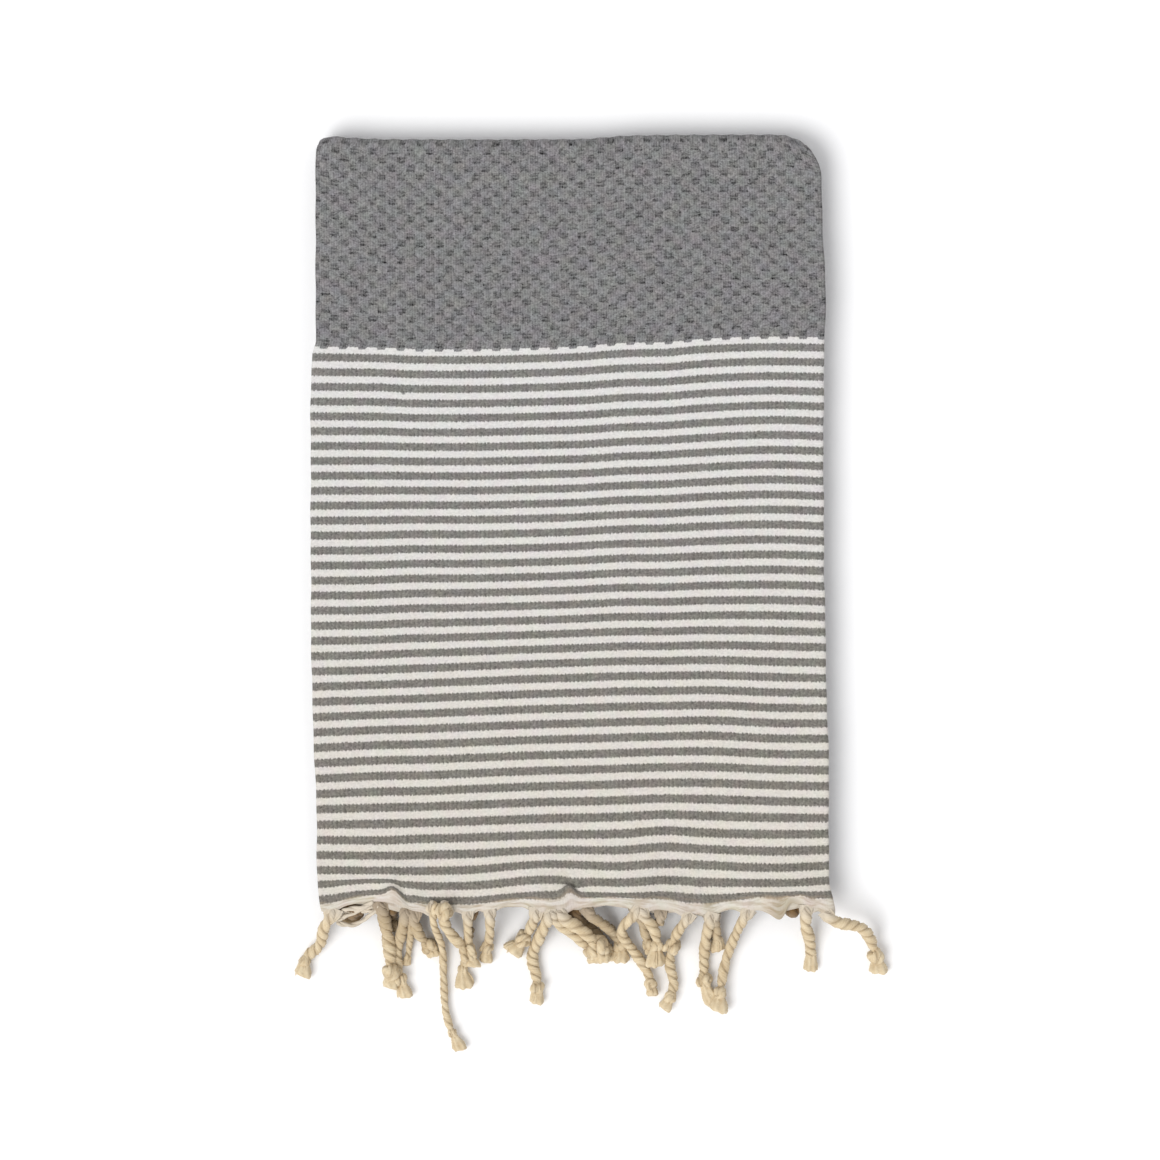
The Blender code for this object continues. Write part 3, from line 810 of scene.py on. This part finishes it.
def frames(line, right=(1, 0, 0)):
    """Along a line, its direction and two directions square to it, which turn as little as they can."""
    ahead = np.gradient(line, axis=0)
    ahead /= np.linalg.norm(ahead, axis=1)[:, None]
    side = np.empty_like(ahead)
    last = np.array(right, float)
    for i, direction in enumerate(ahead):
        last = last - direction * last.dot(direction)
        last /= np.linalg.norm(last)
        side[i] = last
    return ahead, side, np.cross(ahead, side)


def eased(share):
    """A share of a way that starts and ends gently."""
    return share * share * (3 - 2 * share)


def angles(sides):
    """The turn from the first side of a tube to each of its sides."""
    return 2 * math.pi * np.arange(sides) / sides


def rings_round(line, side, up, turns, half_wide, half_high):
    """Rings of points round a line, with a half width and a half height for each point of each ring."""
    return (
        line[:, None]
        + side[:, None] * (np.cos(turns) * half_wide)[..., None]
        + up[:, None] * (np.sin(turns) * half_high)[..., None]
    )


def skin(shape, rings, along, yarns, side_shades, lay=math.inf):
    """Closes a tube over rings of points: a grid bent round them, with its seam and its ends merged. Its
    map counts the yarns round it, which turn once in a lay, and gives the metres along it. The last
    argument gives each side its painted shade, from 0 to 1, deeper where the side lies in a groove."""
    uv, painted_shade_share = shape.loops.layers.uv["yarns and metres"], shape.verts.layers.float["painted_shade_share"]
    count, sides = rings.shape[:2]
    made = bmesh.ops.create_grid(shape, x_segments=sides, y_segments=count - 1, size=0.5)["verts"]
    spots = [(round((v.co.x + 0.5) * sides), round((v.co.y + 0.5) * (count - 1))) for v in made]
    around = {vert: spot for vert, spot in zip(made, spots)}
    for face in {face for vert in made for face in vert.link_faces}:
        face.smooth = True
        for loop in face.loops:
            column, row = around[loop.vert]
            loop[uv].uv = (column / sides * yarns + along[row] / lay, along[row])
    floor = TABLE_GAP / 3
    for vert, (column, row) in zip(made, spots):
        vert.co = rings[row][column % sides]
        vert.co.z = max(vert.co.z, floor)
        vert[painted_shade_share] = side_shades[column % sides]
    bmesh.ops.remove_doubles(shape, verts=made, dist=1e-7)


def small_bumps(gone, turns, phase):
    """The single yarns that stand a little proud, round a body of yarns and along it."""
    along = gone[:, None] / MM
    finer, coarser = along / 0.42 + 2 * turns + phase, along / 0.73 - 3 * turns + 2 * phase
    return YARN_BUMPS * np.sin(finer) * np.sin(coarser)


def strand(shape, line, thick, phase, root_long):
    """One of the two strands of a cord, wound round the cord's line. It grows to its size in root_long."""
    ahead, side, up = frames(line)
    gone = distances(line)
    uneven = 0.8 * np.sin(gone / (7 * MM) + 40 * line[0, 0] / WIDE)
    angle = phase - 2 * math.pi * gone / TWIST + uneven
    radial = np.cos(angle)[:, None] * side + np.sin(angle)[:, None] * up
    square = np.cross(ahead, radial)
    near_tip = np.clip((gone[-1] - gone) / (0.4 * thick[-1]), 0, 1)
    near_root = np.clip(gone / root_long, 0, 1)
    ends = np.sqrt(1 - (1 - near_tip) ** 2) * near_root * (2 - near_root)
    turns = angles(STRAND_SIDES)
    lumps = 1 + small_bumps(gone, turns, phase)
    lumps = lumps + 0.05 * np.sin(gone[:, None] / (1.9 * MM) + 3 * turns + phase)
    lumps = lumps + 0.10 * np.sin(gone[:, None] / (3.1 * MM) + 2.3 * phase)
    size = (thick * ends)[:, None]
    middle, body = line + radial * STRAND_REACH * size, size * lumps
    rings = rings_round(middle, radial, square, turns, STRAND_DEEP * body, STRAND_WIDE * body)
    # Painted shade on the side of each strand that faces the cord's middle, in the groove between the
    # strands
    facing_in = np.clip((0.7 - np.cos(turns)) / 1.4, 0, 1)
    skin(shape, rings, gone, STRAND_YARNS, facing_in, STRAND_LAY)


def bunch(shape, line, half_wide, half_high, start, right, phase, flutes, groove, slant):
    """Yarns lying side by side along a line, as a fan or a brush is: one body with soft grooves, whose end
    is cut at a slant."""
    ahead, side, up = frames(line, right)
    turns = angles(BUNCH_SIDES)
    ridges = np.cos(flutes * turns + 1.2 * np.sin(3 * turns + phase))
    full = 1 + groove * ridges + 0.05 * np.sin(2 * turns + phase)
    gone = distances(line)
    full = full + small_bumps(gone, turns, phase)
    cut = half_wide * (gone / gone[-1]) ** 3
    ragged = slant * (np.cos(turns - phase) + 0.4 * np.cos(5 * turns + 2 * phase))
    rings = rings_round(line, side, up, turns, full * half_wide[:, None], full * half_high[:, None])
    rings += ahead[:, None] * (cut[:, None] * ragged)[..., None]
    # Painted shade in the bunch's grooves
    skin(shape, rings, start + gone, flutes, 3 * groove * (0.5 - 0.5 * ridges) ** 2)


def yarn(shape, line, thick, start):
    """A single yarn along a line, with round ends."""
    _, side, up = frames(line)
    gone = distances(line)
    from_ends = np.clip(np.minimum(gone, gone[-1] - gone) / (thick / 2), 0, 1)
    half = (thick / 2 * np.sqrt(1 - (1 - from_ends) ** 2))[:, None]
    rings = rings_round(line, side, up, angles(YARN_SIDES), half, half)
    skin(shape, rings, start + gone, 1, np.zeros(YARN_SIDES), STRAND_LAY)


def knot_points(centre, ahead, side, up, thick, size):
    """The way of a cord through an overhand knot: two turns round its hole, over and under."""
    big, small = KNOT_ROUND * thick * size, KNOT_RISE * thick * size
    points = []
    for i in range(1, 24):
        t = 2 * math.pi * i / 24
        radius = big + small * math.cos(3 * t)
        into, out = math.exp(-(t / 0.55) ** 2), math.exp(-((2 * math.pi - t) / 0.55) ** 2)
        over = small * 1.2 * math.sin(3 * t) + 0.30 * thick * size * (into - out)
        beside = side * (radius * math.cos(2 * t) - big * 0.4)
        points.append(centre + beside + ahead * radius * math.sin(2 * t) + up * over)
    return points


def tied(line, knots, thick, chance):
    """The way of a cord that has knots in it, and its thickness all along, drawn thin in each knot."""
    gone = distances(line)
    ahead, side, up = frames(line)
    way, last, centres = [], 0, []
    for middle, size in knots:
        half = (KNOT_ROUND + KNOT_RISE) * thick * size + 0.2 * thick
        at, into, out = (int(np.searchsorted(gone, middle + half * k)) for k in (0, -1.1, 1.1))
        at = min(at, len(line) - 1)
        turn = chance.choice((-1, 1)) * chance.uniform(0.9, 2.2)
        across = math.cos(turn) * side[at] + math.sin(turn) * up[at]
        centre = line[at] + np.array([0, 0, 0.35 * thick * size])
        way += [*line[last:into:4], line[min(into, at)]]
        way += knot_points(centre, ahead[at], across, np.cross(ahead[at], across), thick, size)
        centres.append((centre, half * 1.35))
        last = out
    way += [*line[last:-2:4], line[-1]]
    whole = smooth_line(way, RING_PITCH)
    drawn = np.ones(len(whole))
    for centre, reach in centres:
        drawn[np.linalg.norm(whole - centre, axis=1) < reach] = KNOT_DRAWN
    drawn = np.convolve(np.pad(drawn, 3, mode="edge"), np.ones(7) / 7, mode="valid")
    return whole, thick * drawn


def brush(shape, line, wide, neck, chance):
    """The cut ends of the yarns beyond a knot: a soft full body, and single ends bent out of it."""
    _, side, up = frames(line)
    gone = distances(line)
    share = gone / gone[-1]
    body = neck + (wide / 2 - neck) * eased(np.clip(share / 0.8, 0, 1))
    rounding = (1 - np.clip((share - 0.80) / 0.20, 0, 1) ** 3) ** 0.5
    opening = np.sqrt(np.clip(share / 0.12, 0, 1))
    half = body * rounding * opening
    phase = chance.uniform(0, 2 * math.pi)
    grooves = (BRUSH_FLUTES, BRUSH_GROOVE, BRUSH_SLANT)
    bunch(shape, line, half, half * BRUSH_FLAT, BRUSH_MAP, side[0], phase, *grooves)
    ends = round(gone[-1] / YARN_APART)
    for number in range(ends):
        turn = 2 * math.pi * (number + chance.uniform(0, 0.9)) / ends
        deep = chance.uniform(0.55, 0.92)
        longer = chance.uniform(0.80, 1.02)
        sway = chance.normal(0, 0.6 * MM, 2)
        points = []
        for step in np.linspace(0.25, 1, 6):
            row = min(int(step * (len(line) - 1)), len(line) - 1)
            full = body[row] * deep
            out = side[row] * (math.cos(turn) * full + sway[0] * step ** 3)
            out = out + up[row] * (math.sin(turn) * full * BRUSH_FLAT + sway[1] * step ** 3)
            on = line[0] + (line[row] - line[0]) * longer
            points.append(on + out)
        yarn(shape, smooth_line(points, YARN_PITCH), YARN_THICK, BRUSH_MAP)


def edge_place(root, ply):
    """Where the near edge of a ply lies at a distance across from the origin, without the fringe's pull
    and with it, and its height there."""
    across = np.linspace(0, WIDE, 400)
    front = np.zeros_like(across)
    x, y = plan(across, front)
    lift = rumple(across, front, float(ply))
    if ply == 1:
        lift = lift + lifted(TUCKS, across, front)
    at = np.interp(root, x, across)
    edge = np.interp(at, across, y)
    pulled = edge - hem_pull(np.array([root]), ply)[0]
    return edge, pulled, layer_middle(0) + ply * PLY_PITCH + np.interp(at, across, lift) - HEM_CURL


def ties_on_hem(knots):
    """Whether the second knot of a cord lies on the cloth's hem."""
    return 0 < knots[1] < HEM_KNOT


def near_line(ply, root, reach, quarters, thick, rides, on_hem):
    """The line of a near cord: out of the cloth's edge, down the front of the stack, along the table."""
    edge, pulled, top = edge_place(root, ply)
    low = thick / 2 + TABLE_GAP
    aslant = min(max(quarters[0], -SET_OFF), SET_OFF)
    points = [
        (root - 0.35 * aslant, pulled + FAN_ON_CLOTH, top + HEM_CURL * 0.75),
        (root - 0.15 * aslant, pulled + 1.5 * MM, top + HEM_CURL * 0.72),
        (root + 0.10 * aslant, pulled - 1.5 * MM, top - 0.1 * MM),
    ]
    if on_hem:
        above = top + HEM_CURL + thick * 0.4
        points = [(root, edge + 7.5 * MM, above), (root, edge + 1 * MM, above), (root, edge - 5 * MM, top)]
    for step, aside in enumerate(quarters, start=1):
        forward = reach * step / 4 + CORD_SINK * (1 - step / 4)
        drop = min(forward / DROOP[ply], 1)
        ride = rides * min(step / 2, 1)
        height = top + (low + ride - top) * eased(drop)
        if edge - forward < points[-1][1] - 1 * MM:
            points.append((root + aside, edge - forward, height))
    return points


def twisted_cord(shape, points, thick, fan, brush_long, brush_wide, knots, chance):
    """A whole cord along points: a fan of yarns, two wound strands with their knots, and a brush. knots
    holds the size of the last knot and, for a second one, its place and size."""
    line = smooth_line(points, RING_PITCH)
    gone = distances(line)
    size, second_at, second_size = knots
    wanted = [(second_at, second_size)] if second_size else []
    brush_at = gone[-1] - brush_long
    if size:
        wanted.append((brush_at - (KNOT_ROUND + KNOT_RISE) * thick * size, size))
    way_end = int(np.searchsorted(gone, brush_at + 0.25 * thick))
    whole, thickness = tied(line[:way_end], wanted, thick, chance)
    on_hem = ties_on_hem(knots)
    fan_long = FAN_LONG + FAN_LONGER * fan
    first = chance.uniform(0, 2 * math.pi)
    for phase in (first, first + math.pi):
        strand(shape, whole, thickness, phase, 2 * MM if on_hem else fan_long)
    tuft = line[int(np.searchsorted(gone, brush_at - 0.35 * thick)):]
    brush(shape, tuft, brush_wide, thick * 0.44, chance)
    if on_hem:
        return
    # The fan closes inside the strands, so they come out of it little by little
    fan_line = line[:int(np.searchsorted(gone, fan_long + 0.6 * thick)) + 1]
    share = distances(fan_line) / distances(fan_line)[-1]
    inside = np.clip((share - 0.5) / 0.5, 0, 1)
    closing = (1 - 0.45 * inside) * np.sqrt(1 - np.clip((share - 0.9) / 0.1, 0, 1) ** 2)
    half_wide = (fan + (0.48 * thick - fan) * eased(share)) * closing
    half_high = (FAN_THICK / 2 + (0.48 * thick - FAN_THICK / 2) * eased(share)) * closing
    bunch(shape, fan_line, half_wide, half_high, 0, (1, 0, 0), line[0, 0] * 300, FAN_FLUTES, FAN_GROOVE, 0)


def warp_cotton():
    """Undyed cotton yarn in loose two-ply cords: cream, matt and a little fuzzy, with the single yarns
    showing as fine lines on each strand, and paler where the cords leave the cloth."""
    material, tree, surface = new_material("undyed cotton warp yarn")
    node = functools.partial(add_node, tree)
    place = node("UVMap", uv_map="yarns and metres")
    yarns_and_metres = node("SeparateXYZ", (place,)).node.outputs
    here = node("TexCoord", out=3)
    mottle = node("TexNoise", {"Vector": here, "Scale": 160.0, "Detail": 3.0, "Roughness": 0.6})
    fuzz = node("TexNoise", {"Vector": here, "Scale": 1100.0, "Detail": 2.0, "Roughness": 0.65})
    # Single yarns, about 1 mm wide, as lines along the strand
    lines = uneven_waves(tree, yarns_and_metres["X"], 1.0, fuzz, 3.0)
    light = node("Math", (lines, 0.08, -0.15), operation="MULTIPLY_ADD")
    light = node("Math", (mottle, 0.9, light), operation="MULTIPLY_ADD")
    light = node("Math", (fuzz, 0.5, light), operation="MULTIPLY_ADD")
    cream = node("Mix", {0: light, 6: linear("#b89e76"), 7: linear("#e5d7b9")}, 2, data_type="RGBA")
    gone = yarns_and_metres["Y"]
    near_cloth = node("MapRange", (gone, 2 * MM, 12 * MM, 0.85, 0.0))
    cream = node("Mix", {0: near_cloth, 6: cream, 7: linear("#cfc5b5")}, 2, data_type="RGBA")
    # Painted shade, brown: in the hollows between strands, on the roots of the lower plies, and on yarn
    # that lies low under the cloth's cut end
    painted_shade_share = node("Attribute", out=2, attribute_name="painted_shade_share")
    where = node("SeparateXYZ", (here,)).node.outputs
    low = node("MapRange", (where["Z"], 18 * MM, 12 * MM, 0.0, 0.8))
    close = node("MapRange", (where["Y"], -226 * MM, -211 * MM, 0.0, 1.0))
    painted_under_shade = node("Math", (low, close), operation="MULTIPLY")
    painted_shade_share = node("Math", (painted_shade_share, 0.45), operation="MULTIPLY")
    painted_brown_shade = node("Math", (painted_shade_share, painted_under_shade), operation="MAXIMUM")
    cream = node("Mix", {0: painted_brown_shade, 6: cream, 7: linear("#6f5431")}, 2, data_type="RGBA")
    finish_cotton(tree, surface, cream, ((fuzz, 0.40), (lines, 0.10)), roughness=0.9, sheen=0.15)
    return material


def new_fringe():
    """An empty mesh for some fringe, with its maps."""
    shape = bmesh.new()
    shape.loops.layers.uv.new("yarns and metres")
    shape.verts.layers.float.new("painted_shade_share")
    return shape


def fringe_piece(name, shape, material, *nodes):
    """Makes a shape an object that rides on the towel's body, in the fringe's finish."""
    bmesh.ops.recalc_face_normals(shape, faces=shape.faces)
    piece = put_in_scene(name, finished_mesh(name, shape, material))
    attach(piece, "root")
    for node_name in nodes:
        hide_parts(node_name)
    return piece


warp_yarn = warp_cotton()
for name, ply in (("fringe_near_top", 1), ("fringe_near_middle", 0), ("fringe_near_bottom", -1)):
    shape = new_fringe()
    for number, row in enumerate(NEAR_CORDS):
        if row[0] != ply:
            continue
        lengths, (size, second_at, second_size) = [part * MM for part in row[1:12]], row[12:]
        root, reach, *quarters, thick, fan, brush_long, brush_wide, rides = lengths
        knots = (size, second_at * MM, second_size)
        points = near_line(ply, root, reach, quarters, thick, rides, ties_on_hem(knots))
        chance = np.random.default_rng(number)
        twisted_cord(shape, points, thick, fan, brush_long, brush_wide, knots, chance)
    # Painted shade on the roots of the lower plies' cords, under the plies above, fading out away from the
    # cloth
    painted_shade_share = shape.verts.layers.float["painted_shade_share"]
    for vert in shape.verts:
        forward = (FRONT_LINE * MM - vert.co.y) / ROOT_SHADE_LONG
        vert[painted_shade_share] = max(vert[painted_shade_share], ROOT_SHADE[ply] * (1 - min(max(forward, 0), 1)))
    fringe_piece(name, shape, warp_yarn, "fringe_near")

# ---------------------------------------------------------------------------------------------------------
# The loose warp ends
# A few undyed warp yarns at the left corner missed their bunch, and are only twisted in pairs. They leave
# the cut end further in, sag in front of it, and join the first bunch at its root.

LOOSE_ENDS = (                       # points in mm from the origin: X, Y and height
    ((-137, -203, 22), (-141.4, -207.7, 20.5), (-145.3, -210.9, 18), (-149.8, -214.2, 16),
     (-155.7, -216.5, 15), (-160.5, -216.3, 15.5), (-166, -214.5, 17)),
    ((-143, -201.5, 22.5), (-146.5, -204, 21.5), (-151.5, -207, 20), (-157, -209.3, 19),
     (-162, -211.5, 18.5), (-167, -213.5, 17.5)),
    ((-141.5, -201, 23), (-147, -203.8, 22.3), (-151.8, -205.4, 21.8), (-156.5, -205.6, 21.5),
     (-163, -207.5, 20.5)),
    # This pair lies low, under the others, where the painted shade under the cut end browns it darkly
    ((-138, -201, 13), (-146, -205.5, 11), (-153, -208.0, 10), (-160, -208.5, 11), (-166, -207.0, 12)),
    ((-139, -202, 21), (-144.5, -204.7, 19.5), (-150, -206.5, 18), (-157, -208.3, 17.5),
     (-165, -210.5, 18)),
    ((-137, -203.5, 21), (-141, -206.5, 19.5), (-145, -207.3, 19), (-150, -207.0, 18.5)),
)
LOOSE_THICK = 2.4 * MM
LOOSE_APART = 1.3 * MM               # the middles of a pair
LOOSE_WIND = 2.9 * MM                # a pair turns by one radian in this much

shape = new_fringe()
for points in LOOSE_ENDS:
    line = smooth_line(np.array(points) * MM, RING_PITCH)
    gone = distances(line)
    for phase in (0, math.pi):
        beside = np.sin(gone / LOOSE_WIND + phase) * LOOSE_APART / 2
        over = np.cos(gone / LOOSE_WIND + phase) * LOOSE_APART / 2
        # All are as pale as the fringe is at the cloth, so their maps count the metres back from there
        yarn(shape, line + np.stack([beside * 0.4, beside, over], axis=1), LOOSE_THICK, -gone[-1])
fringe_piece("fringe_loose_ends", shape, warp_yarn)

# ---------------------------------------------------------------------------------------------------------
# The far fringe
# The undyed warp ends of the cloth's other end, twisted in two strands, knotted and cut like the near
# ones. The folding tucks them under the front of the stack, which presses them flat on the table.

FAR_CORDS = 12
FAR_CORD_LENGTH = 44 * MM
FAR_CORD_SWAY = 3 * MM               # how far each leans to one side
FAR_CORD_THICK = 3.9 * MM
FAR_FAN = 5 * MM                     # half width
FAR_BRUSH = 6 * MM                   # length and width
FAR_KNOTS = (0.4, 0, 0)              # one small knot each
FAR_CEILING = 5.0 * MM               # the underside of the cloth above

shape = new_fringe()
for number in range(FAR_CORDS):
    across = np.array([WIDE * (number + 0.75) / (FAR_CORDS + 0.5)] * 4)
    sway = FAR_CORD_SWAY * math.sin(2.4 * number)
    share = np.array([-0.05, 0.3, 0.6, 1.0])
    x, y = plan(across + sway * np.maximum(share, 0), END_SHORT - FAR_CORD_LENGTH * share)
    height = FAR_CORD_THICK / 2 + TABLE_GAP
    points = np.stack([x, y, [layer_middle(LAYERS - 1), height, height, height]], axis=1)
    chance = np.random.default_rng(100 + number)
    twisted_cord(shape, points, FAR_CORD_THICK, FAR_FAN, FAR_BRUSH, FAR_BRUSH, FAR_KNOTS, chance)
for vert in shape.verts:
    vert.co.z = min(vert.co.z, FAR_CEILING)
fringe_piece("fringe_far_end", shape, warp_yarn, "fringe_far")
